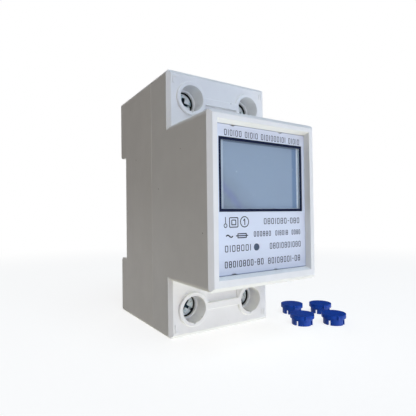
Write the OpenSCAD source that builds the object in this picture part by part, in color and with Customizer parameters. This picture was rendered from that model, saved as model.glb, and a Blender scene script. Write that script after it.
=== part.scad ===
// Single-phase electricity meter for a DIN rail, two modules wide.
// +X is to the right as the meter is read, +Y runs back to the rail, +Z is up.
// The origin is under the middle of the housing, on the face it can stand on.

/* [Housing] */
// Width of the housing, two 18 mm rail modules
case_w = 36; // [35.4:0.2:36]
// Height of the housing
case_h = 76; // [75:0.5:78]
// Depth from the nose front to the rear feet
case_d = 59; // [58.5:0.5:61]
// How far the nose stands in front of the terminal shoulders
nose_len = 20.8; // [20:0.1:21.5]
// Height of each terminal shoulder, above and below the nose
shoulder_h = 16.4; // [16.2:0.1:16.8]
// Distance from the nose front to the joint between the two shells
seam_depth = 32; // [31.6:0.1:32.8]
// Wall thickness of the shells
wall = 1.7; // [1.5:0.1:1.8]
// Flat chamfer along the front edges
front_chamfer = 1.05; // [0.9:0.05:1.2]
// Radius of the four edges that run from front to back
corner_r = 1.3; // [1.1:0.1:1.8]

/* [Face] */
// Half width of the recess in the nose front
recess_half = 15.6; // [15.4:0.1:15.8]
// Depth of that recess down to the label plate
recess_depth = 1.9; // [1.7:0.1:2.2]
// Width of the dark frame around the display
display_w = 28.4; // [27.8:0.1:28.6]
// Height of the dark frame around the display
display_h = 18.3; // [17.8:0.1:18.5]
// Width of the border of that frame
display_border = 0.68; // [0.5:0.02:0.8]

/* [Terminals] */
// Distance of each terminal from the middle plane
terminal_x = 10.35; // [10.1:0.05:10.4]
// Height of each terminal above or below the end face
terminal_in = 7.6; // [7.4:0.1:7.8]
// Radius of the screw wells
well_r = 3.8; // [3.7:0.05:3.9]
// Depth of the screw wells
well_depth = 5; // [4.6:0.1:5.2]
// Radius of the wire entries
wire_r = 3.5; // [3:0.1:3.6]
// Travel of each clamp from open to shut
clamp_travel = 4.4; // [3.5:0.1:4.4]

/* [Rail] */
// Height of the rail notch, for a 35 mm rail
notch_h = 35.8; // [35.5:0.1:36]
// Depth of the rail notch
notch_depth = 4.75; // [4.6:0.05:4.8]
// Travel of the rail clip
clip_travel = 3.2; // [3:0.1:3.4]

/* [Loose plugs] */
// Radius of the plugs that close the screw wells
plug_r = 3.72; // [3.6:0.02:3.74]
// Spacing of the loose plugs along each row
plug_pitch = 10; // [9:0.1:11]
// Spacing of the two rows of loose plugs
plug_row_pitch = 13; // [10:0.5:14]
// Turn of the loose plugs' grid on the surface
plug_turn = -32; // [-40:1:-25]

/* [Hidden] */
$fn = 48;

e = 0.01;
half_w = case_w / 2;
in_x = half_w - wall;
mid_z = case_h / 2;

// Planes from front to back
front_y = -case_d / 2;
shoulder_y = front_y + nose_len;
seam_y = front_y + seam_depth;
seam_bevel = 0.2;
rear_y = case_d / 2;
foot_in_y = rear_y - 1.8;

// Nose and rail notch heights
nose_z0 = shoulder_h;
nose_z1 = case_h - shoulder_h;
bay_top = nose_z0;
room_z0 = nose_z0 + wall;
room_z1 = nose_z1 - wall;
notch_mid = mid_z - 0.55;
notch_z0 = notch_mid - notch_h / 2;
notch_z1 = notch_mid + notch_h / 2;
notch_y = rear_y - notch_depth;
seat_step = 0.3;
seat_x = 13;
notch_in_y = notch_y - seat_step - 1.8;
rail_gap = 1.4;
hook_y = notch_y + rail_gap;

// Face
plate_y = front_y + recess_depth;
plate_t = 1;
ledge_y = plate_y + plate_t;
ledge_t = 1.2;
recess_z0 = mid_z - 18.9;
recess_z1 = mid_z + 19.4;
recess_draft = 0.6;
plate_z0 = recess_z0 + recess_draft;
plate_z1 = recess_z1 - recess_draft;
display_z0 = mid_z - 2.7;
display_z1 = display_z0 + display_h;
display_mid = (display_z0 + display_z1) / 2;
display_x0 = 0.25 - display_w / 2;
display_x1 = 0.25 + display_w / 2;
led_x = -2.5;
led_z = mid_z - 11.8;
led_dot_r = 0.9;
tab_w = 1;
tab_slot_h = 0.38;
tab_x_top = [-9.7, 6.3];
tab_x_bottom = [-9.8, 4];

// Display stack, each layer behind the last
gap = 0.05;
window_y = plate_y + 0.25;
glass_y = ledge_y + gap;
glass_t = 2;
light_y = glass_y + glass_t + gap;
light_t = 2.6;
glass_z0 = display_z0 - 0.8;
glass_z1 = display_z1 + 0.8;
board_y = light_y + light_t + gap;
board_t = 1.6;

// Screws, clamps and bars, from the well inwards
collar_r = 4.95;
collar_t = 0.6;
collar_bevel = 0.25;
collar_y = shoulder_y - collar_t;
well_y = collar_y + well_depth;
lip_r = 3.35;
lip_t = 0.8;
tube_r = 5;
head_room_r = 3.6;
head_r = 3.12;
head_t = 2.2;
head_y = well_y + lip_t + 0.2;
tube_end_y = head_y + head_t;
thread_r = 2.5;
clamp_top_t = 2;
clamp_y = tube_end_y + 0.3 + clamp_travel;
bar_y = clamp_y + clamp_top_t + 0.7;
bar_t = 1.6;
bar_half = 3.4;
wire_gap = 7;
clamp_rear_y = bar_y + bar_t + wire_gap;
clamp_rear_t = 1.4;
clamp_side = 3.9;
clamp_half = 4.9;
clamp_len = 8;
wire_y = bar_y + bar_t + wire_gap / 2;
bar_end_in = 4;
bridge_z0 = terminal_in - 0.95;
bridge_z1 = terminal_in + 1.15;
pocket_half = 5.5;
shunt_z0 = mid_z - 7.5;
shunt_z1 = mid_z + 4.5;

// Main board, held between the front posts and the rear bosses
main_y = bar_y + bar_t + 4.4;
main_t = 1.6;
main_half = 15.5;
post_z = [mid_z - 14.9, mid_z + 14.3];
post_r = 2.9;
ribbon_x = 14.5;
boss_r = 4;
screw_head_r = 2.7;
screw_head_t = 1.8;
screw_shank_r = 1.45;
screw_pocket_r = 3;

// Rail clip
clip_half = 8;
channel_half = 8.15;
channel_y = notch_y + rail_gap - 0.15;
channel_wall_y = channel_y - 1.8;
clip_y = channel_y + 0.1;
lip_half = 6.6;
clip_lip_y = rear_y - 0.8;
clip_bottom_z = 1;
clip_top_z = notch_z0 - 0.1;
tongue_z = notch_z0 + clip_travel - 1.25;
slot_z0 = 6;
slot_z1 = 16;
peg_z0 = 6.4;
peg_z1 = 8.2;
spring_r = 1.25;
spring_wire_r = 0.25;
spring_turns = 5;
spring_y = channel_y + 1.6;

// Loose plugs lie flat, skirt down, beside the nose
plug_x = 31;
plug_y = -15.8;
plug_t = 1.2;
skirt_t = 2;

// ---- helpers -------------------------------------------------------------

module box(x0, x1, y0, y1, z0, z1) {
  translate([x0, y0, z0]) cube([x1 - x0, y1 - y0, z1 - z0]);
}

// A flat outline drawn in X and Z, pushed back from y0 to y1
module push_back(y0, y1) {
  translate([0, y1, 0]) rotate([90, 0, 0]) linear_extrude(y1 - y0) children();
}

// A flat outline drawn in Y and Z, pushed across from x0 to x1
module push_across(x0, x1) {
  translate([x0, 0, 0]) rotate([90, 0, 90]) linear_extrude(x1 - x0) children();
}

// A cylinder along Y
module rod(x, z, r, y0, y1) {
  translate([x, y0, z]) rotate([-90, 0, 0]) cylinder(r = r, h = y1 - y0);
}

module rounded_rect(x0, x1, z0, z1, r) {
  translate([x0 + r, z0]) square([x1 - x0 - 2 * r, z1 - z0]);
  translate([x0, z0 + r]) square([x1 - x0, z1 - z0 - 2 * r]);
  for (x = [x0 + r, x1 - r], z = [z0 + r, z1 - r])
    translate([x, z]) circle(r = r);
}

// A block with rounded long edges and a flat chamfer round its front
module chamfered_block(z0, z1, y0, y1) {
  c = front_chamfer;
  intersection() {
    push_back(y0, y1) rounded_rect(-half_w, half_w, z0, z1, corner_r);
    translate([0, 0, z0])
      linear_extrude(z1 - z0)
        polygon([[-half_w, y1], [-half_w, y0 + c], [c - half_w, y0],
                 [half_w - c, y0], [half_w, y0 + c], [half_w, y1]]);
    push_across(-half_w, half_w)
      polygon([[y1, z0], [y0 + c, z0], [y0, z0 + c], [y0, z1 - c], [y0 + c, z1], [y1, z1]]);
  }
}

module at_terminals() {
  for (x = [-terminal_x, terminal_x], z = [terminal_in, case_h - terminal_in])
    translate([x, 0, z]) children();
}

// Repeats its children for the lower shoulder and, mirrored, the upper one
module both_shoulders() {
  children();
  translate([0, 0, case_h]) mirror([0, 0, 1]) children();
}

// ---- shells --------------------------------------------------------------

module screw_well() {
  rod(0, 0, well_r, collar_y - e, well_y);
  push_back(collar_y - e, well_y)
    polygon([[-0.55, -well_r + 0.2], [0.55, -well_r + 0.2], [0, -well_r - 0.5]]);
  rod(0, 0, lip_r, well_y - e, well_y + lip_t + e);
  rod(0, 0, head_room_r, well_y + lip_t, tube_end_y + e);
}

module shoulder_cavity() {
  box(-in_x, in_x, shoulder_y + wall, seam_y + e, wall, bay_top);
}

module shoulder_fittings() {
  box(-0.6, 0.6, shoulder_y + wall - e, seam_y, wall - e, bay_top + e);
  push_across(-terminal_x, terminal_x)
    polygon([[shoulder_y + e, bridge_z0], [collar_y + collar_bevel, bridge_z0],
             [collar_y, bridge_z0 + collar_bevel], [collar_y, bridge_z1], [shoulder_y + e, bridge_z1]]);
  for (s = [-1, 1])
    translate([s * terminal_x, 0, terminal_in]) {
      rod(0, 0, collar_r, collar_y + collar_bevel, shoulder_y + e);
      translate([0, collar_y, 0]) rotate([-90, 0, 0])
        cylinder(r1 = collar_r - collar_bevel, r2 = collar_r, h = collar_bevel);
      rod(0, 0, tube_r, shoulder_y + wall - e, tube_end_y);
    }
  // corner marks: a right-angle bracket on the left, twin bars on the right
  mark_y = shoulder_y - 0.2;
  box(-16.4, -16.1, mark_y, shoulder_y + e, 1.7, 3.9);
  box(-16.4, -15.2, mark_y, shoulder_y + e, 1.7, 2);
  for (x = [15.3, 16.1])
    box(x, x + 0.3, mark_y, shoulder_y + e, 1.9, 3.8);
}

module shoulder_pocket() {
  box(-pocket_half, pocket_half, shoulder_y - e, shoulder_y + 0.5, bridge_z1, nose_z0);
}

module face_recess() {
  push_across(-recess_half, recess_half)
    polygon([[front_y - e, recess_z0], [front_y, recess_z0], [plate_y, plate_z0], [ledge_y, plate_z0],
             [ledge_y, plate_z1], [plate_y, plate_z1], [front_y, recess_z1], [front_y - e, recess_z1]]);
}

module front_posts() {
  for (z = post_z)
    rod(0, z, post_r, board_y + board_t + 3, main_y);
  box(-0.9, 0.9, board_y + board_t + 3, seam_y, post_z[1] + post_r - 0.5, room_z1 + e);
  box(-0.9, 0.9, board_y + board_t + 3, seam_y, room_z0 - e, post_z[0] - post_r + 0.5);
  for (s = [0, 1], z = [24, 38, 50])
    mirror([s, 0, 0])
      box(in_x - 1.6, in_x + e, board_y + board_t + gap, board_y + board_t + 1.4, z - 1, z + 1);
}

// Locating skirt that enters the rear shell along both sides
module seam_skirt() {
  for (s = [0, 1])
    mirror([s, 0, 0]) {
      box(in_x - 1, in_x + e, seam_y - 3, seam_y, room_z0 + 1, room_z1 - 1);
      box(in_x - 1, in_x - 0.1, seam_y - e, seam_y + 2, room_z0 + 1, room_z1 - 1);
    }
}

module front_case() {
  color("whitesmoke")
    difference() {
      union() {
        difference() {
          union() {
            chamfered_block(0, case_h, shoulder_y, seam_y);
            chamfered_block(nose_z0, nose_z1, front_y, seam_y);
          }
          both_shoulders() shoulder_cavity();
          both_shoulders() shoulder_pocket();
          box(-in_x, in_x, ledge_y + ledge_t, seam_y + e, room_z0, room_z1);
          box(1 - in_x, in_x - 1, ledge_y - e, ledge_y + ledge_t + e, plate_z0 + 2.5, plate_z1 - 1.2);
          face_recess();
        }
        both_shoulders() shoulder_fittings();
        front_posts();
        seam_skirt();
      }
      at_terminals() screw_well();
      for (z = post_z)
        rod(0, z, screw_shank_r + 0.03, 2, main_y + e);
      for (x = tab_x_top)
        box(x - tab_w, x + tab_w, ledge_y - e, ledge_y + ledge_t + e, plate_z1 - 0.9, plate_z1 + 0.4);
      for (x = tab_x_bottom)
        box(x - tab_w, x + tab_w, ledge_y - e, ledge_y + ledge_t + e, plate_z0 - 0.4, plate_z0 + 0.9);
    }
}

// Outline of the rear shell seen from above, with a small bevel at the joint between the shells
module rear_plan() {
  polygon([[-half_w, rear_y], [-half_w, seam_y + seam_bevel], [seam_bevel - half_w, seam_y],
           [half_w - seam_bevel, seam_y], [half_w, seam_y + seam_bevel], [half_w, rear_y]]);
}

// Side outline of the rear shell, with the rail notch and its rounded lips
module rear_profile() {
  lip = 1.3;
  difference() {
    polygon([[seam_y, seam_bevel], [seam_y + seam_bevel, 0], [rear_y - 0.6, 0], [rear_y, 0.6],
             [rear_y, case_h - 0.6], [rear_y - 0.6, case_h], [seam_y + seam_bevel, case_h],
             [seam_y, case_h - seam_bevel]]);
    translate([notch_y, notch_z0]) square([notch_depth + 1, notch_h]);
    for (s = [[notch_z0, -1], [notch_z1, 1]])
      difference() {
        translate([rear_y - lip, s[1] > 0 ? s[0] - e : s[0] - lip + e]) square([lip + 1, lip]);
        translate([rear_y - lip, s[0] + s[1] * lip]) circle(r = lip);
      }
  }
}

module terminal_bay() {
  box(-in_x, in_x, seam_y - e, channel_wall_y, wall, bay_top);
}

module rear_cavities() {
  box(-in_x, in_x, seam_y - e, notch_in_y, room_z0, room_z1);
  terminal_bay();
  for (s = [0, 1])
    mirror([s, 0, 0]) box(channel_half + wall, in_x, channel_wall_y - e, foot_in_y, wall, bay_top);
  box(-in_x, in_x, seam_y - e, foot_in_y, case_h - bay_top, case_h - wall);
}

module clip_channel() {
  box(-channel_half, channel_half, channel_y, rear_y + e, -e, notch_z0 + e);
}

module clip_guides() {
  for (s = [0, 1])
    mirror([s, 0, 0])
      box(lip_half, channel_half + e, clip_lip_y, rear_y, 0.9, notch_z0 - 1.4);
  box(-1.9, 1.9, channel_y - e, rear_y - 1.2, peg_z0, peg_z1);
}

// Two fixed hooks at the top of the notch, behind the rail's upper edge
module rail_hooks() {
  for (x = [-10.5, 4.5])
    push_across(x, x + 6)
      polygon([[hook_y, notch_z1 + e], [hook_y, notch_z1 - 1.65], [hook_y + 0.5, notch_z1 - 1.65],
               [hook_y + 1.6, notch_z1 - 0.9], [hook_y + 1.6, notch_z1 + e]]);
}

module bay_partitions() {
  box(-0.6, 0.6, seam_y, channel_wall_y + e, wall - e, bay_top + e);
  box(-0.6, 0.6, seam_y, foot_in_y + e, case_h - bay_top - e, case_h - wall + e);
}

module bar_slots() {
  for (x = [-terminal_x, terminal_x], z = [bay_top, room_z1])
    box(x - bar_half - 0.2, x + bar_half + 0.2, seam_y - e, bar_y + bar_t + 0.2, z - e, z + wall + e);
}

module rear_case() {
  color("gainsboro")
    difference() {
      union() {
        difference() {
          intersection() {
            push_back(seam_y, rear_y) rounded_rect(-half_w, half_w, 0, case_h, corner_r);
            linear_extrude(case_h) rear_plan();
            push_across(-half_w, half_w) rear_profile();
          }
          rear_cavities();
          box(-seat_x, seat_x, notch_y - seat_step, rear_y, notch_z0, notch_z1);
          clip_channel();
        }
        clip_guides();
        rail_hooks();
        bay_partitions();
        for (z = post_z)
          rod(0, z, boss_r, main_y + main_t, notch_in_y + e);
      }
      bar_slots();
      for (x = [-terminal_x, terminal_x], z = [-e, case_h - wall - e])
        translate([x, wire_y, z]) cylinder(r = wire_r, h = wall + 2 * e);
      for (z = post_z) {
        rod(0, z, screw_shank_r + 0.1, main_y, notch_y);
        rod(0, z, screw_pocket_r, notch_y - seat_step - screw_head_t - 0.2, notch_y);
      }
      // small gate mark left by moulding, one on each side
      for (s = [-1, 1])
        translate([s * half_w, notch_y - 1, notch_mid - 1]) sphere(r = 0.3);
    }
}

// ---- face and display ----------------------------------------------------

module tab_slot(x, z) {
  box(x - 0.6, x + 0.6, plate_y - e, ledge_y + ledge_t + 1, z, z + tab_slot_h);
}

module face_plate() {
  color("lavender")
    difference() {
      union() {
        box(-recess_half + gap, recess_half - gap, plate_y, ledge_y, plate_z0 + gap, plate_z1 - gap);
        for (x = tab_x_top)
          box(x - tab_w + 0.15, x + tab_w - 0.15, ledge_y - e, ledge_y + ledge_t + 0.5,
              plate_z1 - 0.8, plate_z1 - gap);
        for (x = tab_x_bottom)
          box(x - tab_w + 0.15, x + tab_w - 0.15, ledge_y - e, ledge_y + ledge_t + 0.5,
              plate_z0 + gap, plate_z0 + 0.8);
      }
      box(display_x0 - gap, display_x1 + gap, plate_y - e, ledge_y + e,
          display_z0 - gap, display_z1 + gap);
      rod(led_x, led_z, led_dot_r + 0.04, plate_y - e, ledge_y + e);
      // release slots at the plate's edges, one through each snap tab
      for (x = tab_x_top)
        tab_slot(x, plate_z1 - tab_slot_h);
      for (x = tab_x_bottom)
        tab_slot(x, plate_z0);
    }
}

module display_frame() {
  b = display_border;
  color("midnightblue")
    difference() {
      box(display_x0, display_x1, plate_y + 0.08, ledge_y, display_z0, display_z1);
      box(display_x0 + b, display_x1 - b, plate_y, ledge_y + e, display_z0 + b, display_z1 - b);
    }
}

module display_window() {
  b = display_border + 0.03;
  color("lightsteelblue", 0.4)
    box(display_x0 + b, display_x1 - b, window_y, ledge_y, display_z0 + b, display_z1 - b);
}

module lcd_glass() {
  color("lightslategray")
    box(display_x0 - 0.25, display_x1 + 0.25, glass_y, glass_y + glass_t, glass_z0, glass_z1);
}

module lcd_backlight() {
  color("white")
    difference() {
      box(-13.6, 13.6, light_y, light_y + light_t, glass_z0 + 2, glass_z1 - 2);
      for (x = [-11.5, 11.5])
        rod(x, display_mid, 0.8, light_y + 1.4, light_y + light_t + e);
    }
}

module lcd_pins() {
  color("silver")
    for (i = [-6.5:1:6.5], z = [glass_z0 + 0.8, glass_z1 - 0.8])
      translate([i * 1.9, 0, z])
        box(-0.25, 0.25, glass_y + glass_t, board_y, -0.25, 0.25);
}

module display_board() {
  color("seagreen")
    difference() {
      box(-in_x + 0.6, in_x - 0.6, board_y, board_y + board_t, room_z0 + 1.5, room_z1 - 1.5);
      for (x = [-13, 13])
        rod(x, 22, 1.1, board_y - e, board_y + board_t + e);
    }
}

module controller_chip() {
  y0 = board_y + board_t;
  color("dimgray") {
    box(-5, 5, y0 + 0.1, y0 + 1.6, 33, 43);
    for (i = [-4:1:4]) {
      box(i - 0.2, i + 0.2, y0, y0 + 0.5, 32.2, 33);
      box(i - 0.2, i + 0.2, y0, y0 + 0.5, 43, 43.8);
    }
  }
}

module impulse_led() {
  color("indianred") {
    rod(led_x, led_z, 1.9, board_y - 1, board_y);
    rod(led_x, led_z, 1.5, board_y - 2.6, board_y - 1 + e);
  }
}

module light_pipe() {
  color("slategray") {
    rod(led_x, led_z, led_dot_r, plate_y + 0.05, ledge_y + 0.2);
    rod(led_x, led_z, 1.9, ledge_y + gap, ledge_y + 0.8);
    rod(led_x, led_z, 1.1, ledge_y + 0.8 - e, board_y - 2.7);
  }
}

// ---- main board ----------------------------------------------------------

module main_board() {
  color("darkgreen")
    difference() {
      box(-main_half, main_half, main_y, main_y + main_t, room_z0 + 0.6, room_z1 - 0.6);
      for (z = post_z)
        rod(0, z, screw_shank_r + 0.15, main_y - e, main_y + main_t + e);
    }
}

module metering_chip() {
  y0 = main_y + main_t;
  color("dimgray") {
    box(-12, -8, y0 + 0.1, y0 + 1.6, 31, 41);
    for (i = [-3.5:1:3.5]) {
      box(-13, -12, y0, y0 + 0.5, 36 + i * 1.2 - 0.2, 36 + i * 1.2 + 0.2);
      box(-8, -7, y0, y0 + 0.5, 36 + i * 1.2 - 0.2, 36 + i * 1.2 + 0.2);
    }
  }
}

module optocoupler() {
  y0 = main_y + main_t;
  color("ivory")
    box(6.5, 13, y0, y0 + 3.4, 22, 26.6);
}

module crystal() {
  y0 = main_y + main_t;
  color("silver")
    push_back(y0, y0 + 3.5) {
      translate([-12.3, 26.5]) circle(r = 1.9);
      translate([-6.7, 26.5]) circle(r = 1.9);
      translate([-12.3, 24.6]) square([5.6, 3.8]);
    }
}

module mains_capacitor() {
  color("goldenrod")
    box(-6, 6, main_y - 15, main_y, 27, 35);
}

module filter_capacitor() {
  color("darkslateblue") {
    rod(-2, 42.2, 4, main_y - 12, main_y - 0.5);
    rod(-2, 42.2, 3.4, main_y - 0.5 - e, main_y);
  }
}

module varistor() {
  color("royalblue") {
    translate([2.8, main_y - 6.4, 42.2]) rotate([0, 90, 0]) cylinder(r = 5, h = 3.6);
    for (z = [39.8, 44.6])
      rod(4.6, z, 0.4, main_y - 2.4, main_y);
  }
}

module dropper_resistors() {
  y0 = main_y + main_t;
  color("tan")
    for (x = [6.6, 9.6, 12.6]) {
      translate([x, y0 + 1.6, 31]) cylinder(r = 1.1, h = 7);
      for (z = [31.6, 37.4])
        rod(x, z, 0.35, y0, y0 + 1.6);
    }
}

module ribbon_cable() {
  color("gainsboro")
    box(ribbon_x - 0.25, ribbon_x + 0.25, board_y + board_t + 0.7, main_y - 0.7, 27, 36);
}

// One socket on each board, with a slot for the cable
module ribbon_sockets() {
  rear = board_y + board_t;
  color("ivory")
    difference() {
      for (y = [[rear, rear + 3], [main_y - 3, main_y]])
        box(ribbon_x - 0.95, ribbon_x + 0.95, y[0], y[1], 26.5, 36.5);
      box(ribbon_x - 0.3, ribbon_x + 0.3, rear + 0.6, main_y - 0.6, 26.95, 36.05);
    }
}

// ---- current path --------------------------------------------------------

module flat_bar(x, z0, z1) {
  box(x - bar_half, x + bar_half, bar_y, bar_y + bar_t, z0, z1);
}

module line_bar_in() {
  color("peru") flat_bar(-terminal_x, bar_end_in, shunt_z0);
}

module current_shunt() {
  color("rosybrown")
    box(-terminal_x - 2.6, -terminal_x + 2.6, bar_y + 0.2, bar_y + bar_t - 0.2, shunt_z0, shunt_z1);
}

module line_bar_out() {
  color("peru") flat_bar(-terminal_x, shunt_z1, case_h - bar_end_in);
}

module neutral_bar() {
  color("peru") flat_bar(terminal_x, bar_end_in, case_h - bar_end_in);
}

module sense_leads() {
  color("firebrick") {
    for (z = [shunt_z0 - 1.5, shunt_z1 + 1.5])
      rod(-terminal_x, z, 0.45, bar_y + bar_t, main_y);
    rod(terminal_x, 30, 0.45, bar_y + bar_t, main_y);
  }
}

// ---- fasteners -----------------------------------------------------------

module case_screws() {
  head_end = notch_y - seat_step - 0.2;
  color("silver")
    for (z = post_z)
      difference() {
        union() {
          rod(0, z, screw_head_r, head_end - screw_head_t, head_end);
          rod(0, z, screw_shank_r, 3, head_end - screw_head_t + e);
        }
        for (a = [0, 90])
          translate([0, 0, z]) rotate([0, a, 0])
            box(-1.5, 1.5, head_end - 1, head_end + e, -0.35, 0.35);
      }
}

// A pan-headed clamp screw with a combined cross and slot drive
module terminal_screw(x, z, turn) {
  color("lightgray")
    translate([x, 0, z]) rotate([0, turn, 0])
      difference() {
        union() {
          rod(0, 0, head_r, head_y + 0.35, head_y + head_t);
          rod(0, 0, head_r - 0.3, head_y, head_y + head_t);
          rod(0, 0, thread_r, head_y + head_t - e, bar_y - 0.05);
        }
        box(-head_r, head_r, head_y - e, head_y + 1, -0.42, 0.42);
        box(-0.55, 0.55, head_y - e, head_y + 1.3, -1.9, 1.9);
      }
}

// Rising clamp: threaded front plate, two sides and a ribbed rear plate
module terminal_clamp(x, z) {
  h = clamp_len / 2;
  color("silver")
    translate([x, 0, z])
      difference() {
        union() {
          box(-clamp_half, clamp_half, clamp_y, clamp_y + clamp_top_t, -h, h);
          for (s = [-1, 1])
            box(s > 0 ? clamp_side : -clamp_half, s > 0 ? clamp_half : -clamp_side,
                clamp_y, clamp_rear_y + clamp_rear_t, -h, h);
          box(-clamp_half, clamp_half, clamp_rear_y, clamp_rear_y + clamp_rear_t, -h, h);
        }
        rod(0, 0, thread_r + 0.06, clamp_y - e, clamp_y + clamp_top_t + e);
        for (i = [-1, 0, 1])
          box(-3.4, 3.4, clamp_rear_y - e, clamp_rear_y + 0.35, i * 2 - 0.3, i * 2 + 0.3);
      }
}

// ---- rail clip -----------------------------------------------------------

module rail_clip() {
  tongue_y = hook_y;
  color("gainsboro")
    difference() {
      union() {
        box(-clip_half, clip_half, clip_y, clip_lip_y - 0.15, clip_bottom_z, clip_top_z);
        box(-lip_half + 0.2, lip_half - 0.2, clip_y, rear_y - 0.25, clip_bottom_z, clip_top_z);
        push_across(-5.8, 5.8)
          polygon([[tongue_y, clip_top_z - e], [tongue_y, tongue_z], [tongue_y + 0.5, tongue_z],
                   [tongue_y + 1.7, tongue_z - 1.1], [tongue_y + 1.7, clip_top_z - e]]);
      }
      box(-2.2, 2.2, clip_y - e, rear_y, slot_z0, slot_z1);
      box(-3, 3, clip_y + 1.2, rear_y, 2.2, 4.4);
    }
}

function helix(a, r, pitch) = [r * cos(a), r * sin(a), pitch * a / 360];

// Round wire swept along a helix, as one closed skin
module coil(r, wire, turns, height) {
  steps = 18 * turns;
  sides = 8;
  rise = (height - 2 * wire) / turns;
  pts = [for (i = [0:steps], k = [0:sides - 1])
    let (a = i * 360 / 18, b = k * 360 / sides, c = helix(a, r + wire * cos(b), rise))
      [c[0], c[1], c[2] + wire + wire * sin(b)]];
  sides_f = [for (i = [0:steps - 1], k = [0:sides - 1])
    [i * sides + k, i * sides + (k + 1) % sides, (i + 1) * sides + (k + 1) % sides, (i + 1) * sides + k]];
  cap_a = [[for (k = [sides - 1:-1:0]) k]];
  cap_b = [[for (k = [0:sides - 1]) steps * sides + k]];
  polyhedron(points = pts, faces = concat(sides_f, cap_a, cap_b));
}

module clip_spring() {
  color("silver")
    translate([0, spring_y, peg_z1])
      coil(spring_r, spring_wire_r, spring_turns, slot_z1 - peg_z1 - gap);
}

// ---- loose plugs ---------------------------------------------------------

// A flat cap with a key tab and four short legs; right and back are -1 or 1
module seal_plug(right, back) {
  color("royalblue")
    translate([plug_x, plug_y, 0]) rotate([0, 0, plug_turn])
      translate([right * plug_pitch / 2, back * plug_row_pitch / 2, 0]) {
        difference() {
          union() {
            cylinder(r = plug_r - 0.5, h = skirt_t + e);
            translate([0, 0, skirt_t]) cylinder(r = plug_r, h = plug_t);
          }
          translate([0, 0, -e]) cylinder(r = plug_r - 1.2, h = skirt_t);
          for (a = [45, 135])
            rotate([0, 0, a]) box(-plug_r, plug_r, -0.4, 0.4, -e, skirt_t - 0.5);
        }
        translate([0, 0, skirt_t])
          linear_extrude(plug_t)
            polygon([[-0.5, 0.2 - plug_r], [0, -plug_r - 0.48], [0.5, 0.2 - plug_r]]);
      }
}

rear_case();
front_case();
face_plate();
display_frame();
display_window();
lcd_glass();
lcd_backlight();
lcd_pins();
display_board();
controller_chip();
impulse_led();
light_pipe();
main_board();
metering_chip();
optocoupler();
crystal();
mains_capacitor();
filter_capacitor();
varistor();
dropper_resistors();
ribbon_cable();
ribbon_sockets();
line_bar_in();
current_shunt();
line_bar_out();
neutral_bar();
sense_leads();
case_screws();
terminal_screw(-terminal_x, terminal_in, 35);  // screw_line_in
terminal_screw(-terminal_x, case_h - terminal_in, 12);  // screw_line_out
terminal_screw(terminal_x, terminal_in, 62);  // screw_neutral_in
terminal_screw(terminal_x, case_h - terminal_in, 80);  // screw_neutral_out
terminal_clamp(-terminal_x, terminal_in);  // clamp_line_in
terminal_clamp(-terminal_x, case_h - terminal_in);  // clamp_line_out
terminal_clamp(terminal_x, terminal_in);  // clamp_neutral_in
terminal_clamp(terminal_x, case_h - terminal_in);  // clamp_neutral_out
rail_clip();
clip_spring();
seal_plug(-1, 1);  // seal_plug_1
seal_plug(1, 1);  // seal_plug_2
seal_plug(-1, -1);  // seal_plug_3
seal_plug(1, -1);  // seal_plug_4
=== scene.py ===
"""Looks of a two-module electricity meter for a DIN rail: materials, face printing, light, floor and camera.

X runs to the right as the meter is read, Y back to the rail and Z up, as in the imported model. Lengths are
written in millimetres and become metres through MM. The lights and the floor are in metres.
"""

import math

import bmesh
import bpy
from mathutils import Matrix, Vector


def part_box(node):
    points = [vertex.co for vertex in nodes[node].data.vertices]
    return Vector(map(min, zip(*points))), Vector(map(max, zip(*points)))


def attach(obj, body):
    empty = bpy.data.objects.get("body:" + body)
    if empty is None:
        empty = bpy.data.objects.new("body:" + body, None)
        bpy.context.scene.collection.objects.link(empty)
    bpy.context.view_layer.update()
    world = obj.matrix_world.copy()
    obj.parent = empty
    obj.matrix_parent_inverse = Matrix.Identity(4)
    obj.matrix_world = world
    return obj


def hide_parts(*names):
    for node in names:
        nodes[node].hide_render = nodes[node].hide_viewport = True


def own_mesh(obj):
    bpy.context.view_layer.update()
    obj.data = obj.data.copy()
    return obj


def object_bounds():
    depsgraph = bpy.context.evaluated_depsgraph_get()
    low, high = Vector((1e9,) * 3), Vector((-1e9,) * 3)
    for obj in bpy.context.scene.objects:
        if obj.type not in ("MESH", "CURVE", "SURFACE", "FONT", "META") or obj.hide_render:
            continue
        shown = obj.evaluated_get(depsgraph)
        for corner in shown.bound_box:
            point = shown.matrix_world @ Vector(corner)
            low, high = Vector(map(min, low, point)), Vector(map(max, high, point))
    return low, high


MM = 0.001
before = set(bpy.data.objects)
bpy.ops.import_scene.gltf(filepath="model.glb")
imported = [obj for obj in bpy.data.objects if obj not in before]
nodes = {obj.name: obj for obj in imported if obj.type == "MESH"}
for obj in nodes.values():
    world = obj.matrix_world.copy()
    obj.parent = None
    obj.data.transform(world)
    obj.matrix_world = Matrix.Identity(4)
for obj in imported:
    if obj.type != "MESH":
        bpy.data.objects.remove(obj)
cad_low, cad_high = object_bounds()

# the four terminal screws stand symmetrically about x = 0 and MIDDLE_Z, with their heads at HEAD_Y
screw_low, screw_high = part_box("screw_line_in")
MIDDLE_Z = (screw_low.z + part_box("screw_neutral_out")[1].z) / 2
TERMINAL_X = -(screw_low.x + screw_high.x) / 2
TERMINAL_Z = MIDDLE_Z - (screw_low.z + screw_high.z) / 2
HEAD_Y = screw_low.y


# ---- camera ----------------------------------------------------------------------

CAMERA_PLACE = Vector((-62.74, -98.03, 34.54)) * MM
CAMERA_TURN = math.radians(32.87)  # from straight ahead towards the right
CAMERA_PITCH = math.radians(1.125)  # upwards
CAMERA_ROLL = math.radians(-0.718)
CAMERA_LENS = 30.96
CAMERA_SENSOR = 36


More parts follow.
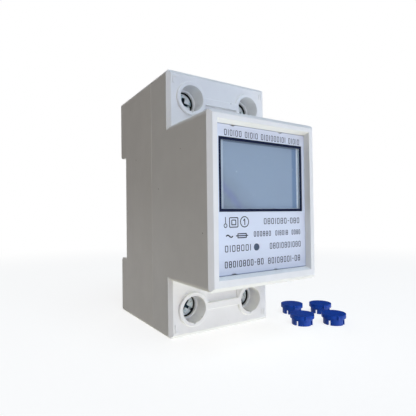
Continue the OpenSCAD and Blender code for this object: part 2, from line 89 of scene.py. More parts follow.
def make_camera():
    """A camera left of the meter and a little below its middle, turned towards it."""
    turn, pitch, roll = CAMERA_TURN, CAMERA_PITCH, CAMERA_ROLL
    forward = Vector((math.sin(turn) * math.cos(pitch), math.cos(turn) * math.cos(pitch), math.sin(pitch)))
    level = Vector((math.cos(turn), -math.sin(turn), 0))
    upright = level.cross(forward)
    right = level * math.cos(roll) + upright * math.sin(roll)
    up = upright * math.cos(roll) - level * math.sin(roll)
    data = bpy.data.cameras.new("camera")
    data.sensor_width = CAMERA_SENSOR
    data.lens = CAMERA_LENS
    data.clip_start = 5 * MM
    data.clip_end = 20
    camera = bpy.data.objects.new("camera", data)
    camera.matrix_world = Matrix((right, up, -forward)).transposed().to_4x4()
    camera.location = CAMERA_PLACE
    bpy.context.scene.collection.objects.link(camera)
    bpy.context.scene.camera = camera


# ---- shader helpers --------------------------------------------------------------

def srgb(red, green, blue):
    """A display colour, 0 to 255 a channel, as the linear colour that a shader takes."""
    def linear(value):
        share = value / 255
        return share / 12.92 if share <= 0.04045 else ((share + 0.055) / 1.055) ** 2.4
    return (linear(red), linear(green), linear(blue), 1)


def scaled(colour, factor):
    """The same hue, darker or lighter by factor."""
    return (colour[0] * factor, colour[1] * factor, colour[2] * factor, 1)


class Shader:
    """A node material under construction. Sizes given to its textures are feature sizes in millimetres."""

    def __init__(self, name):
        self.material = bpy.data.materials.new(name)
        self.material.use_nodes = True
        self.tree = self.material.node_tree
        self.tree.nodes.clear()
        self.output = self.node("ShaderNodeOutputMaterial")
        self.surface = self.node("ShaderNodeBsdfPrincipled")
        self.tree.links.new(self.surface.outputs[0], self.output.inputs[0])
        self.place = self.node("ShaderNodeTexCoord").outputs["Object"]

    def node(self, kind, **settings):
        """A new node of this kind with these properties."""
        made = self.tree.nodes.new(kind)
        for key, value in settings.items():
            setattr(made, key, value)
        return made

    def put(self, socket, value):
        """Links an output to a socket, or sets the socket's own value."""
        if isinstance(value, bpy.types.NodeSocket):
            self.tree.links.new(value, socket)
        else:
            socket.default_value = value

    def set(self, **values):
        """Sets sockets of the surface shader; an underscore stands for a space."""
        for key, value in values.items():
            self.put(self.surface.inputs[key.replace("_", " ")], value)
        return self

    def math(self, operation, first, second=0.0):
        made = self.node("ShaderNodeMath", operation=operation)
        self.put(made.inputs[0], first)
        self.put(made.inputs[1], second)
        return made.outputs[0]

    def noise(self, size, detail, rough=0.5, stretch=(1, 1, 1)):
        """Soft noise, from 0 to 1, whose patches are about size across."""
        made = self.node("ShaderNodeTexNoise")
        self.put(made.inputs["Vector"], self.stretched(stretch))
        made.inputs["Scale"].default_value = 1 / (size * MM)
        made.inputs["Detail"].default_value = detail
        made.inputs["Roughness"].default_value = rough
        return made.outputs["Fac"]

    def stretched(self, stretch):
        """The object's coordinates, drawn out along an axis where stretch is above 1."""
        if stretch == (1, 1, 1):
            return self.place
        made = self.node("ShaderNodeMapping")
        self.put(made.inputs["Vector"], self.place)
        made.inputs["Scale"].default_value = [1 / s for s in stretch]
        return made.outputs["Vector"]

    def cells(self, size):
        """Distance from the nearest of many scattered points, as a share of their spacing, size."""
        made = self.node("ShaderNodeTexVoronoi")
        self.put(made.inputs["Vector"], self.place)
        made.inputs["Scale"].default_value = 1 / (size * MM)
        return made.outputs["Distance"]

    def between(self, value, low, high, start=0.0, end=1.0):
        """value from low to high, eased into start to end."""
        made = self.node("ShaderNodeMapRange", interpolation_type="SMOOTHSTEP")
        for index, number in enumerate((value, low, high, start, end)):
            self.put(made.inputs[index], number)
        return made.outputs[0]

    def mix(self, share, first, second):
        """The first colour where share is 0, the second where it is 1."""
        made = self.node("ShaderNodeMix", data_type="RGBA")
        self.put(made.inputs["Factor"], share)
        self.put(made.inputs[6], first)
        self.put(made.inputs[7], second)
        return made.outputs[2]

    def axes(self):
        """The object's x, y and z coordinates, in metres."""
        made = self.node("ShaderNodeSeparateXYZ")
        self.put(made.inputs[0], self.place)
        return made.outputs

    def length(self, first, second):
        """Length of the flat vector that has these two components."""
        squares = self.math("ADD", self.math("MULTIPLY", first, first), self.math("MULTIPLY", second, second))
        return self.math("SQRT", squares)

    def bump(self, height, depth, under=None):
        """Relief from a height field, on top of the relief under. depth is in millimetres."""
        made = self.node("ShaderNodeBump")
        made.inputs["Distance"].default_value = depth * MM
        self.put(made.inputs["Height"], height)
        if under is not None:
            self.put(made.inputs["Normal"], under)
        return made.outputs[0]


# ---- materials -------------------------------------------------------------------

def shell_plastic(name, colour, grain=0.16, dirt=0.7):
    """Moulded ABS with a fine spark-eroded texture, faint clouding and a few embedded specks."""
    relief = 0.012
    speck_spacing, speck_core, speck_rim = 5.5, 0.022, 0.045
    s = Shader(name)
    cloud = s.noise(9, detail=4, rough=0.6)
    flow = s.noise(3.2, detail=3, stretch=(1, 1, 5))
    tone = s.mix(s.between(cloud, 0.35, 0.7), scaled(colour, 0.965), colour)
    tone = s.mix(s.between(flow, 0.45, 0.75, 0, 0.35), tone, scaled(colour, 1.03))
    speck = s.between(s.cells(speck_spacing), speck_core, speck_rim, dirt, 0.0)
    tone = s.mix(speck, tone, srgb(96, 90, 84))
    fine = s.noise(grain, detail=3, rough=0.65)
    soft = s.noise(grain * 6, detail=2)
    normal = s.bump(soft, relief, s.bump(fine, relief))
    roughness = s.between(s.noise(2.4, detail=3), 0.3, 0.7, 0.42, 0.52)
    s.set(Base_Color=tone, Roughness=roughness, Normal=normal, IOR=1.52)
    return s


def front_plastic():
    """Cool white shell. The walls of the narrow sleeves around the screw heads, behind their lip, are painted
    near black as shade.
    """
    sleeve_radius, lip = 3.9 * MM, 0.15 * MM
    s = shell_plastic("front_shell", srgb(233, 233, 231))
    plain = s.surface.inputs["Base Color"].links[0].from_socket
    in_sleeve = s.between(terminal_radius(s), sleeve_radius, sleeve_radius + 0.2 * MM, 1.0, 0.0)
    behind_lip = s.between(s.axes()[1], HEAD_Y - lip, HEAD_Y)
    # painted shade: the sleeve walls behind the lip are coloured near black
    s.set(Base_Color=s.mix(s.math("MULTIPLY", in_sleeve, behind_lip), plain, srgb(38, 38, 40)))
    return s.material


def rear_plastic():
    return shell_plastic("rear_shell", srgb(232, 231, 228), grain=0.2).material


def clip_plastic():
    return shell_plastic("clip_plastic", srgb(224, 222, 214), grain=0.3, dirt=0.2).material


def plug_plastic():
    """Soft blue polyethylene: faint orange peel, paler where the skin is scuffed."""
    s = Shader("plug_plastic")
    blue = srgb(6, 62, 158)
    tone = s.mix(s.between(s.noise(1.6, detail=4), 0.4, 0.75), blue, scaled(blue, 1.25))
    scuff = s.between(s.noise(0.5, detail=5, rough=0.7), 0.62, 0.8, 0, 0.35)
    tone = s.mix(scuff, tone, srgb(74, 112, 184))
    peel = s.noise(0.45, detail=2)
    s.set(Base_Color=tone, Roughness=s.between(peel, 0.3, 0.7, 0.36, 0.5), Normal=s.bump(peel, 0.02))
    s.set(Subsurface_Weight=0.12, Subsurface_Radius=(0.0004, 0.0006, 0.0012))
    s.set(IOR=1.51, Specular_IOR_Level=0.22)
    return s.material


def label_film():
    """Satin printed film, pale lavender, with faint streaks in its coating, painted shade towards its foot
    and painted shadow lines along its foot and head.
    """
    s = Shader("face_plate")
    pale, gap_shadow = srgb(217, 224, 237), srgb(96, 106, 138)
    plate_low, plate_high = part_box("face_plate")
    height = s.axes()[2]
    # painted shade: the film is darker towards its foot
    shaded_to = plate_low.z + 8 * MM
    tone = s.mix(s.between(height, plate_low.z - 1 * MM, shaded_to), scaled(pale, 0.86), pale)
    streak = s.noise(1.1, detail=3, stretch=(9, 1, 1))
    tone = s.mix(s.between(streak, 0.4, 0.7, 0, 0.25), tone, scaled(pale, 1.05))
    # painted shadow: dark lines along the foot and head of the film, where it meets the recess wall
    foot = s.between(height, plate_low.z + 0.14 * MM, plate_low.z + 0.24 * MM, 0.75, 0.0)
    head = s.between(height, plate_high.z - 0.2 * MM, plate_high.z - 0.1 * MM, 0.0, 0.6)
    tone = s.mix(s.math("MAXIMUM", foot, head), tone, gap_shadow)
    grain = s.noise(0.09, detail=2)
    s.set(Base_Color=tone, Roughness=s.between(streak, 0.3, 0.7, 0.34, 0.44), Normal=s.bump(grain, 0.002))
    s.set(IOR=1.5)
    return s.material


def ink(name, colour):
    """Screen-printed ink, a little uneven in density."""
    s = Shader(name)
    patch = s.noise(0.35, detail=4, rough=0.7)
    tone = s.mix(s.between(patch, 0.35, 0.75), colour, scaled(colour, 1.7))
    s.set(Base_Color=tone, Roughness=s.between(patch, 0.3, 0.7, 0.45, 0.6), Normal=s.bump(patch, 0.004))
    return s.material


def dark_frame():
    """Satin navy border of the display, with a soft moulding grain."""
    s = Shader("display_frame")
    navy = srgb(2, 16, 46)
    grain = s.noise(0.3, detail=3)
    tone = s.mix(s.between(grain, 0.35, 0.7), navy, scaled(navy, 1.35))
    s.set(Base_Color=tone, Roughness=s.between(grain, 0.3, 0.7, 0.45, 0.58), Normal=s.bump(grain, 0.006))
    s.set(Specular_IOR_Level=0.25)
    return s.material


def clear_window():
    """Clear polycarbonate with hairline wipe marks."""
    s = Shader("display_window")
    wipe = s.noise(0.6, detail=5, rough=0.7, stretch=(7, 1, 2))
    s.set(Base_Color=srgb(247, 250, 252), Roughness=s.between(wipe, 0.4, 0.75, 0.02, 0.07))
    s.set(Transmission_Weight=1.0, IOR=1.2)
    return s.material


def lcd_cell():
    """The unlit display: a grey-blue polariser, with a painted shadow of the frame's right wall across its
    right end and a painted reflection in the film across its lower left corner.
    """
    s = Shader("lcd_glass")
    film, dull, reflected_violet = srgb(176, 192, 210), srgb(154, 164, 176), srgb(146, 150, 196)
    frame_shadow_blue, edge, dust = srgb(140, 163, 193), srgb(240, 246, 250), srgb(226, 236, 240)
    glass_low, glass_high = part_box("lcd_glass")
    bottom = glass_low.z / MM
    right = glass_high.x / MM
    x, _, z = s.axes()

    # the film is duller towards its lower left corner, with a violet band across that corner that is a
    # painted reflection in the film
    from_corner = s.math("ADD", x, z)
    tone = s.mix(s.between(from_corner, (bottom - 11) * MM, (bottom + 4) * MM), dull, film)
    band, band_half = bottom - 5.0, 2.4
    band_in = s.between(from_corner, (band - band_half) * MM, band * MM)
    band_out = s.between(from_corner, band * MM, (band + band_half) * MM, 1.0, 0.0)
    across = s.math("MULTIPLY", band_in, band_out)
    along = s.between(x, -3 * MM, -9 * MM, 0.0, 0.6)
    tone = s.mix(s.math("MULTIPLY", across, along), tone, reflected_violet)
    haze = s.noise(2.5, detail=4, rough=0.6)
    tone = s.mix(s.between(haze, 0.4, 0.75, 0, 0.2), tone, scaled(film, 1.12))

    # painted shadow of the frame's right wall across the right end, and a thin shaded line along its top
    shadow_from, film_top = 11.0, glass_high.z - 1.65 * MM
    tone = s.mix(s.between(x, shadow_from * MM, (shadow_from + 0.9) * MM), tone, frame_shadow_blue)
    from_top = s.math("ABSOLUTE", s.math("SUBTRACT", z, film_top))
    tone = s.mix(s.between(from_top, 0.08 * MM, 0.2 * MM, 0.8, 0.0), tone, scaled(frame_shadow_blue, 0.6))

    # painted highlights where the window's cut edge catches light along the frame's opening: left, foot and
    # right
    edge_left, edge_foot, edge_right = -12.2, bottom + 1.62, right - 1.65
    tone = s.mix(s.between(x, edge_left * MM, (edge_left + 0.15) * MM, 0.55, 0.0), tone, edge)
    tone = s.mix(s.between(z, edge_foot * MM, (edge_foot + 0.18) * MM, 0.55, 0.0), tone, edge)
    tone = s.mix(s.between(x, edge_right * MM, (edge_right + 0.15) * MM), tone, edge)
    tone = s.mix(s.between(s.cells(3.1), 0.035, 0.07, 0.9, 0.0), tone, dust)
    s.set(Base_Color=tone, Roughness=s.between(haze, 0.3, 0.7, 0.3, 0.42), IOR=1.5)
    return s.material


def light_guide():
    s = Shader("diffuser")
    dots = s.cells(0.8)
    tone = s.mix(s.between(dots, 0.2, 0.35), srgb(250, 250, 250), srgb(236, 237, 234))
    s.set(Base_Color=tone, Roughness=0.4, Normal=s.bump(dots, 0.02))
    s.set(Subsurface_Weight=0.2, Subsurface_Radius=(0.001, 0.001, 0.001))
    return s.material


def metal(name, colour, rough=(0.22, 0.36), tint=None):
    """Plated or drawn metal: clouded finish, hairline scratches and a thin coloured film in places."""
    patch, scratch_depth = 1.4, 0.006
    s = Shader(name)
    cloud = s.noise(patch, detail=5, rough=0.65)
    tone = s.mix(s.between(cloud, 0.35, 0.7), scaled(colour, 0.82), colour)
    if tint is not None:
        tone = s.mix(s.between(s.noise(patch * 0.8, detail=3), 0.5, 0.68, 0, 0.75), tone, tint)
    lines = s.noise(0.12, detail=3, stretch=(6, 1, 1))
    s.set(Base_Color=tone, Metallic=1.0, Roughness=s.between(cloud, 0.3, 0.7, *rough))
    s.set(Normal=s.bump(lines, scratch_depth))
    return s


def terminal_radius(s):
    """Distance from the axis of the nearest terminal screw."""
    x, _, z = s.axes()
    across = s.math("SUBTRACT", s.math("ABSOLUTE", x), TERMINAL_X)
    along = s.math("SUBTRACT", s.math("ABSOLUTE", s.math("SUBTRACT", z, MIDDLE_Z)), TERMINAL_Z)
    return s.length(across, along)


def screw_metal():
    """Bright zinc with the turned rings of the head, a blue-green film and the driver recess painted dark as
    shade.
    """
    ring_pitch, recess_radius, head_height = 0.22 * MM, 2.2 * MM, 2.0 * MM
    s = metal("zinc_screw", srgb(232, 238, 234), rough=(0.24, 0.4), tint=srgb(150, 196, 200))
    radius = terminal_radius(s)
    rings = s.math("SINE", s.math("MULTIPLY", radius, 2 * math.pi / ring_pitch))
    old = s.surface.inputs["Normal"].links[0].from_socket
    plain = s.surface.inputs["Base Color"].links[0].from_socket
    y = s.axes()[1]
    # painted shade: the driver recess, deeper than 0.15 mm behind the head's face, is coloured dark teal
    deep = s.between(y, HEAD_Y + 0.15 * MM, HEAD_Y + 0.4 * MM)
    in_head = s.between(y, HEAD_Y + head_height, HEAD_Y + head_height + 0.1 * MM, 1.0, 0.0)
    in_recess = s.between(radius, recess_radius, recess_radius + 0.1 * MM, 1.0, 0.0)
    recess = s.math("MULTIPLY", s.math("MULTIPLY", deep, in_head), in_recess)
    s.set(Base_Color=s.mix(recess, plain, srgb(34, 62, 74)), Metallic=0.6, Normal=s.bump(rings, 0.004, old))
    return s.material


def case_screw_metal():
    return metal("case_screw", srgb(196, 198, 196), tint=srgb(186, 184, 150)).material


def clamp_metal():
    return metal("zinc_clamp", srgb(186, 188, 186), rough=(0.3, 0.5), tint=srgb(160, 180, 186)).material


def spring_steel():
    return metal("spring_steel", srgb(150, 152, 156), rough=(0.25, 0.4)).material


def tinned():
    return metal("tinned_metal", srgb(206, 206, 202), rough=(0.25, 0.45)).material


def copper():
    return metal("copper_bar", srgb(206, 140, 104), rough=(0.25, 0.45), tint=srgb(150, 96, 76)).material


def shunt_metal():
    return metal("shunt_alloy", srgb(176, 156, 142), rough=(0.35, 0.5), tint=srgb(140, 118, 112)).material


def circuit_board():
    """Green solder mask over copper tracks and a glass weave."""
    column_pitch, row_pitch = 1.9 * MM, 2.7 * MM
    mask, over_copper = srgb(22, 92, 54), srgb(44, 122, 74)
    s = Shader("circuit_board")
    x, _, z = s.axes()
    columns = s.math("SINE", s.math("MULTIPLY", x, 2 * math.pi / column_pitch))
    rows = s.math("SINE", s.math("MULTIPLY", z, 2 * math.pi / row_pitch))
    turn = s.between(s.noise(7, detail=0), 0.46, 0.5)
    tracks = s.between(s.mix(turn, columns, rows), 0.35, 0.5)
    weave = s.cells(0.5)
    tone = s.mix(tracks, mask, over_copper)
    tone = s.mix(s.between(weave, 0.1, 0.5, 0, 0.2), tone, scaled(mask, 0.7))
    s.set(Base_Color=tone, Roughness=0.32, Normal=s.bump(tracks, 0.035, s.bump(weave, 0.004)))
    return s.material


def small_part(name, colour, rough=0.5, grain=0.25, depth=0.01):
    """A small moulded, dipped or sleeved part with its own grain and a little shading of colour."""
    darker, lighter = scaled(colour, 0.85), scaled(colour, 1.075)
    s = Shader(name)
    fine = s.noise(grain, detail=4, rough=0.6)
    cloud = s.noise(grain * 8, detail=3)
    tone = s.mix(s.between(cloud, 0.35, 0.7), darker, lighter)
    s.set(Base_Color=tone, Roughness=s.between(fine, 0.3, 0.7, rough - 0.07, rough + 0.07))
    s.set(Normal=s.bump(fine, depth))
    return s.material


def frosted_edge():
    return small_part("frosted_edge", srgb(196, 212, 230), rough=0.6, grain=0.15)


# ---- which node gets which material ----------------------------------------------

WELD_REACH = 0.0005 * MM
SHARP_FROM = math.radians(32)


def dress(names, material, edge=0.0, segments=2):
    """Gives CAD nodes a material and, where edge is above 0, small rounded edges of that width."""
    for name in names:
        node = nodes[name]
        node.data.materials.clear()
        node.data.materials.append(material)
        if edge:
            weld = node.modifiers.new("weld", "WELD")
            weld.merge_threshold = WELD_REACH
            bevel = node.modifiers.new("soft_edges", "BEVEL")
            bevel.width = edge * MM
            bevel.segments = segments
            bevel.limit_method = "ANGLE"
            bevel.angle_limit = SHARP_FROM
            bevel.harden_normals = True


def dress_all():
    dress(["front_case"], front_plastic(), edge=0.12)
    dress(["rear_case"], rear_plastic(), edge=0.12)
    dress(["rail_clip"], clip_plastic(), edge=0.12)
    dress(["face_plate"], label_film(), edge=0.04, segments=1)
    dress(["display_frame"], dark_frame(), edge=0.05)
    dress(["display_window"], clear_window(), edge=0.05)
    dress(["lcd_glass"], lcd_cell())
    dress(["lcd_backlight"], light_guide())
    dress(["lcd_pins", "crystal"], tinned())
    dress(["display_board", "main_board"], circuit_board())
    dress(["controller_chip", "metering_chip"], small_part("chip_plastic", srgb(42, 42, 46)), edge=0.08)
    dress(["optocoupler", "ribbon_sockets"], small_part("pale_plastic", srgb(236, 232, 214)), edge=0.1)
    dress(["impulse_led"], small_part("led_epoxy", srgb(196, 60, 48), rough=0.18, depth=0.002))
    dress(["light_pipe"], small_part("light_pipe", srgb(70, 86, 108), rough=0.22, grain=0.5))
    dress(["mains_capacitor"], small_part("capacitor_box", srgb(224, 190, 70), grain=0.2), edge=0.3)
    dress(["filter_capacitor"], small_part("capacitor_sleeve", srgb(44, 46, 92), rough=0.25, grain=1.2))
    dress(["varistor"], small_part("varistor_epoxy", srgb(40, 92, 176), rough=0.22, grain=0.9, depth=0.05))
    dress(["dropper_resistors"], small_part("resistor_ceramic", srgb(206, 178, 140), rough=0.35, grain=0.6))
    dress(["ribbon_cable", "sense_leads"], small_part("cable_plastic", srgb(214, 214, 208), rough=0.4))
    dress(["line_bar_in", "line_bar_out", "neutral_bar"], copper(), edge=0.15)
    dress(["current_shunt"], shunt_metal(), edge=0.05)
    dress(["case_screws"], case_screw_metal(), edge=0.08)
    dress([name for name in nodes if name.startswith("screw_")], screw_metal(), edge=0.09)
    dress([name for name in nodes if name.startswith("clamp_")], clamp_metal(), edge=0.12)
    dress([name for name in nodes if name.startswith("seal_plug")], plug_plastic(), edge=0.2, segments=3)


# ---- thin printed and laid-on pieces ---------------------------------------------

class Slab:
    """A flat piece drawn in X and Z, in millimetres, between the depths front and back, in metres."""

    def __init__(self, name, front, back):
        self.name = name
        self.front = front
        self.back = back
        self.mesh = bmesh.new()

    def loop(self, outline, y):
        """New vertices for an outline of (x, z) points at depth y."""
        return [self.mesh.verts.new((x * MM, y, z * MM)) for x, z in outline]

    def prism(self, outline):
        """A closed prism over an outline of (x, z) points."""
        front = self.loop(outline, self.front)
        back = self.loop(outline, self.back)
        self.mesh.faces.new(front)
        self.mesh.faces.new(back[::-1])
        for i in range(len(outline)):
            j = (i + 1) % len(outline)
            self.mesh.faces.new((front[j], front[i], back[i], back[j]))

    def ring(self, outer, inner):
        """A closed flat ring between two outlines that have the same number of points."""
        outer_front, outer_back = self.loop(outer, self.front), self.loop(outer, self.back)
        inner_front, inner_back = self.loop(inner, self.front), self.loop(inner, self.back)
        for i in range(len(outer)):
            j = (i + 1) % len(outer)
            self.mesh.faces.new((outer_front[i], outer_front[j], inner_front[j], inner_front[i]))
            self.mesh.faces.new((outer_back[j], outer_back[i], inner_back[i], inner_back[j]))
            self.mesh.faces.new((outer_front[j], outer_front[i], outer_back[i], outer_back[j]))
            self.mesh.faces.new((inner_front[i], inner_front[j], inner_back[j], inner_back[i]))

    def bar(self, x0, x1, z0, z1):
        self.prism([(x0, z0), (x1, z0), (x1, z1), (x0, z1)])

    def box_ring(self, x0, x1, z0, z1, width, corner=0.0):
        outer = rounded_box(x0, x1, z0, z1, corner)
        inner = rounded_box(x0 + width, x1 - width, z0 + width, z1 - width, max(corner - width, corner * 0.3))
        self.ring(outer, inner)

    def round_ring(self, x, z, radius, width, sides=40):
        self.ring(circle(x, z, radius, sides), circle(x, z, radius - width, sides))

    def stroke(self, points, width):
        """A ribbon of constant width along a line of (x, z) points."""
        left, right = [], []
        for i, point in enumerate(points):
            before, after = points[max(i - 1, 0)], points[min(i + 1, len(points) - 1)]
            run = Vector((after[0] - before[0], after[1] - before[1])).normalized()
            side = Vector((-run.y, run.x)) * width / 2
            left.append((point[0] + side.x, point[1] + side.y))
            right.append((point[0] - side.x, point[1] - side.y))
        self.prism(right + left[::-1])

    def finish(self, material, body="case"):
        """Makes the piece with its material, on a body of the part."""
        bmesh.ops.recalc_face_normals(self.mesh, faces=self.mesh.faces)
        data = bpy.data.meshes.new(self.name)
        self.mesh.to_mesh(data)
        self.mesh.free()
        data.materials.append(material)
        piece = bpy.data.objects.new(self.name, data)
        bpy.context.scene.collection.objects.link(piece)
        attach(piece, body)
        return piece


def circle(x, z, radius, sides):
    """Outline of a circle."""
    turns = [2 * math.pi * i / sides for i in range(sides)]
    return [(x + radius * math.cos(a), z + radius * math.sin(a)) for a in turns]


def rounded_box(x0, x1, z0, z1, corner):
    """Outline of a box with rounded corners, with the same number of points for any corner radius."""
    steps, least_corner = 4, 0.01
    corner = max(corner, least_corner)
    points = []
    centres = [(x1 - corner, z1 - corner, 0), (x0 + corner, z1 - corner, 90),
               (x0 + corner, z0 + corner, 180), (x1 - corner, z0 + corner, 270)]
    for x, z, start in centres:
        for i in range(steps + 1):
            angle = math.radians(start + 90 * i / steps)
            points.append((x + corner * math.cos(angle), z + corner * math.sin(angle)))
    return points


# ---- printing on the face --------------------------------------------------------

# how far each mark moves the row on: o an open box, e the same with a bar across, i an upright, - a dash
MARK_ADVANCE = {"o": 1.0, "e": 1.0, "i": 0.55, "-": 0.75, " ": 0.7}
MARK_GAP = 0.32

# rows of marks: left, right, foot above the plate's foot, height, marks and width of line, in millimetres
TITLE_ROWS = [
    (-12.3, 13.6, 34.2, 1.52, "oioioo oioio oioioooioi oioio", 0.16),
]
RATING_ROWS = [
    (0.05, 13.1, 12.2, 1.57, "oeoioeo-oeo", 0.19),
    (-12.5, -4.4, 5.7, 1.62, "oioeooi", 0.20),
    (-12.6, -0.3, 1.85, 1.62, "oeoioeoo-eo", 0.21),
    (1.3, 13.2, 1.8, 1.62, "eoioeooi-oe", 0.20),
]
SMALL_ROWS = [
    (-3.4, 2.4, 9.1, 1.38, "oooeeo", 0.18),
    (4.05, 8.65, 9.1, 1.38, "oieoie", 0.17),
    (10.1, 13.4, 9.1, 1.38, "ooeo", 0.17),
    (2.0, 13.5, 5.65, 1.6, "oeoioeoioeo", 0.19),
]


def placeholder_row(slab, x0, x1, z0, height, pattern, line):
    """A row of plain marks, one to a character, from x0 to x1. It stands where a printed text would be."""
    pitch = (x1 - x0) / (sum(MARK_ADVANCE[mark] for mark in pattern) - MARK_GAP)
    middle = z0 + height / 2
    x = x0
    for mark in pattern:
        width = pitch * (MARK_ADVANCE[mark] - MARK_GAP)
        if mark in "oe":
            slab.box_ring(x, x + width, z0, z0 + height, line, corner=0.25)
        if mark == "e":
            slab.bar(x + line, x + width - line, middle - line / 2, middle + line / 2)
        if mark == "i":
            slab.bar(x + (width - line) / 2, x + (width + line) / 2, z0, z0 + height)
        if mark == "-":
            slab.bar(x, x + width, middle - line / 2, middle + line / 2)
        x += pitch * MARK_ADVANCE[mark]


def print_symbols(slab, upper, lower):
    """Plain engineering symbols in two rows, whose middles are at the heights upper and lower."""
    # terminal: a small ring with a stem
    x = -12.25
    slab.round_ring(x, upper - 0.75, 0.53, 0.19, sides=24)
    slab.bar(x - 0.1, x + 0.1, upper - 0.24, upper + 1.37)
    # double insulation: a box in a box
    x = -9.75
    for half_width, half_height, corner in ((1.40, 1.28, 0.3), (0.73, 0.70, 0.2)):
        slab.box_ring(x - half_width, x + half_width, upper - half_height, upper + half_height, 0.24, corner)
    # class one: the numeral in a ring
    x = -6.37
    slab.round_ring(x, upper + 0.08, 1.41, 0.23)
    slab.bar(x - 0.06, x + 0.18, upper - 0.72, upper + 0.88)
    slab.prism([(x + 0.18, upper + 0.88), (x - 0.06, upper + 0.88), (x - 0.48, upper + 0.48),
                (x - 0.35, upper + 0.3), (x - 0.06, upper + 0.53)])
    # alternating current: one full wave
    start, length, swing, steps = -12.15, 2.1, 0.27, 16
    wave = []
    for i in range(steps + 1):
        wave.append((start + length * i / steps, lower + swing * math.sin(2 * math.pi * i / steps)))
    slab.stroke(wave, 0.3)
    # fuse: a long box with its line through
    x = -7.2
    slab.box_ring(x - 1.45, x + 1.45, lower - 0.62, lower + 0.62, 0.26, corner=0.12)
    slab.bar(x - 1.9, x + 1.9, lower - 0.13, lower + 0.13)


def print_face():
    """Rows of placeholder marks and the symbols of the rating plate, as thin layers of ink on it."""
    plate_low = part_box("face_plate")[0]
    front = plate_low.y - 0.02 * MM
    back = plate_low.y + 0.01 * MM
    bottom = plate_low.z / MM
    dark = ink("ink_dark", srgb(12, 18, 36))
    thin = ink("ink_thin", srgb(20, 28, 48))
    layers = [
        ("title_print", TITLE_ROWS, dark),
        ("rating_print", RATING_ROWS, dark),
        ("small_print", SMALL_ROWS, thin),
    ]
    for name, rows, material in layers:
        slab = Slab(name, front, back)
        for x0, x1, foot, height, pattern, line in rows:
            placeholder_row(slab, x0, x1, bottom + foot, height, pattern, line)
        slab.finish(material)
    symbols = Slab("symbol_print", front, back)
    print_symbols(symbols, upper=bottom + 12.9, lower=bottom + 9.55)
    symbols.finish(dark)


def edge_window():
    """The frosted cut edge of the window, a thin band that lies between the window and its dark frame."""
    thickness, slack = 0.02, 0.005
    reach = thickness + slack
    window_low, window_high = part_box("display_window")
    band = Slab("window_edge", window_low.y + 0.04 * MM, window_high.y - 0.02 * MM)
    band.box_ring(window_low.x / MM - reach, window_high.x / MM + reach,
                  window_low.z / MM - reach, window_high.z / MM + reach, thickness)
    band.finish(frosted_edge())


# ---- clip spring -----------------------------------------------------------------

def wire_coil(name, low, high, wire, turns):
    """Round wire of radius wire, wound upwards as one closed skin that fills the box from low to high."""
    steps, sides = 24, 10  # of one turn and around the wire
    centre = (low + high) / 2
    radius = (high.x - low.x) / 2 - wire
    rise = high.z - low.z - 2 * wire
    mesh = bmesh.new()
    rings = []
    for i in range(turns * steps + 1):
        turn = 2 * math.pi * i / steps
        middle_z = low.z + wire + rise * i / (turns * steps)
        ring = []
        for k in range(sides):
            around = 2 * math.pi * k / sides
            out = radius + wire * math.cos(around)
            place = (centre.x + out * math.cos(turn), centre.y + out * math.sin(turn),
                     middle_z + wire * math.sin(around))
            ring.append(mesh.verts.new(place))
        rings.append(ring)
    for ring, following in zip(rings, rings[1:]):
        for k in range(sides):
            j = (k + 1) % sides
            mesh.faces.new((ring[k], ring[j], following[j], following[k])).smooth = True
    mesh.faces.new(rings[0])
    mesh.faces.new(rings[-1])
    bmesh.ops.recalc_face_normals(mesh, faces=mesh.faces)
    data = bpy.data.meshes.new(name)
    mesh.to_mesh(data)
    mesh.free()
    piece = bpy.data.objects.new(name, data)
    bpy.context.scene.collection.objects.link(piece)
    return piece


def make_spring():
    """The clip's spring. It stands on its peg."""
    low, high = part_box("clip_spring")
    coil = wire_coil("clip_spring_coil", low, high, wire=0.25 * MM, turns=5)
    coil.data.materials.append(spring_steel())
    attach(coil, "case")
    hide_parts("clip_spring")
    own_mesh(coil)


# ---- floor, world and lights -----------------------------------------------------

FLOOR_SIZE = 12
FLOOR_TONES = [(0.26, 0.26, 0.26, 1), (0.275, 0.275, 0.275, 1)]
FLOOR_GLOW = 0.80
FADE_FROM, FADE_TO = 140 * MM, 320 * MM


def make_floor():
    """A plain white table that fades into the white backdrop away from the meter."""
    mesh = bmesh.new()
    bmesh.ops.create_grid(mesh, x_segments=24, y_segments=24, size=FLOOR_SIZE / 2)
    data = bpy.data.meshes.new("floor")
    mesh.to_mesh(data)
    mesh.free()
    floor = bpy.data.objects.new("floor", data)
    floor.location.z = cad_low.z - 0.02 * MM
    bpy.context.scene.collection.objects.link(floor)
    floor.visible_diffuse = False
    floor.visible_shadow = False

    s = Shader("floor")
    s.tree.nodes.remove(s.surface)
    lit = s.node("ShaderNodeBsdfDiffuse")
    paper = s.between(s.noise(1.2, detail=3), 0.3, 0.7)
    s.put(lit.inputs["Color"], s.mix(paper, *FLOOR_TONES))
    glow = s.node("ShaderNodeEmission")
    glow.inputs["Strength"].default_value = FLOOR_GLOW
    near = s.node("ShaderNodeAddShader")
    s.put(near.inputs[0], lit.outputs[0])
    s.put(near.inputs[1], glow.outputs[0])
    far = s.node("ShaderNodeEmission")
    far.inputs["Strength"].default_value = 1.0
    x, y, _ = s.axes()
    blend = s.node("ShaderNodeMixShader")
    s.put(blend.inputs[0], s.between(s.length(x, y), FADE_FROM, FADE_TO))
    s.put(blend.inputs[1], near.outputs[0])
    s.put(blend.inputs[2], far.outputs[0])
    s.put(s.output.inputs[0], blend.outputs[0])
    data.materials.append(s.material)


ROOM_COLOUR = (0.6, 0.75, 1.0, 1)
ROOM_STRENGTH = 0.045


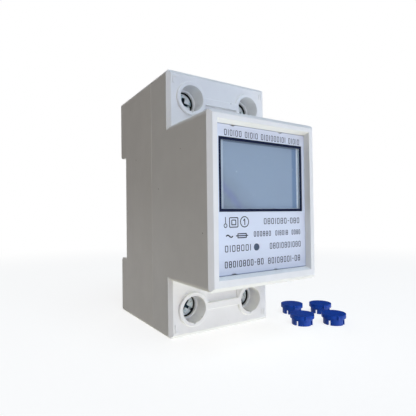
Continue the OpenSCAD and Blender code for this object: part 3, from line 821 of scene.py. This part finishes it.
def make_world():
    """White where it is seen, and a dim room for the light that falls on the meter."""
    world = bpy.data.worlds.new("studio")
    bpy.context.scene.world = world
    world.use_nodes = True
    tree = world.node_tree
    tree.nodes.clear()
    seen = tree.nodes.new("ShaderNodeBackground")
    seen.inputs["Color"].default_value = (1, 1, 1, 1)
    room = tree.nodes.new("ShaderNodeBackground")
    room.inputs["Color"].default_value = ROOM_COLOUR
    room.inputs["Strength"].default_value = ROOM_STRENGTH
    path = tree.nodes.new("ShaderNodeLightPath")
    choose = tree.nodes.new("ShaderNodeMixShader")
    out = tree.nodes.new("ShaderNodeOutputWorld")
    tree.links.new(path.outputs["Is Camera Ray"], choose.inputs[0])
    tree.links.new(room.outputs[0], choose.inputs[1])
    tree.links.new(seen.outputs[0], choose.inputs[2])
    tree.links.new(choose.outputs[0], out.inputs[0])


# name, turn from the front towards the right and rise, in degrees, width in metres, watts and colour
LAMPS = [
    ("under_right", 65, -35, 0.50, 2.80, (0.70, 0.85, 1.00)),
    ("under_front", 25, -38, 0.25, 0.88, (1.00, 0.78, 0.55)),
    ("under", 0, -75, 0.50, 2.40, (1.00, 1.00, 0.75)),
    ("above", 0, 60, 0.50, 2.90, (0.73, 0.88, 1.00)),
    ("front", 0, 0, 0.50, 1.69, (0.60, 0.66, 1.00)),
    ("front_left", -35, 0, 0.50, 0.98, (1.00, 0.94, 0.80)),
    ("above_left", -90, 40, 0.60, 0.58, (1.00, 0.72, 0.52)),
    ("behind", 165, 15, 0.60, 1.80, (1.00, 0.98, 0.95)),
]
LAMP_DISTANCE = 0.7


def make_lights():
    """Soft square lamps on a sphere around the middle of the meter, all turned to it."""
    aim = Vector((0, 0, (cad_low.z + cad_high.z) / 2))
    for name, turn, height, size, watts, colour in LAMPS:
        around, up = math.radians(turn), math.radians(height)
        out = Vector((math.sin(around) * math.cos(up), -math.cos(around) * math.cos(up), math.sin(up)))
        data = bpy.data.lights.new(name, "AREA")
        data.shape = "SQUARE"
        data.size = size
        data.energy = watts
        data.color = colour
        light = bpy.data.objects.new(name, data)
        light.location = aim + out * LAMP_DISTANCE
        light.rotation_mode = "QUATERNION"
        light.rotation_quaternion = (-out).to_track_quat("-Z", "Y")
        bpy.context.scene.collection.objects.link(light)


# ---- build -----------------------------------------------------------------------

make_camera()
dress_all()
print_face()
edge_window()
make_spring()
make_floor()
make_world()
make_lights()
bpy.context.scene.view_settings.view_transform = "Standard"
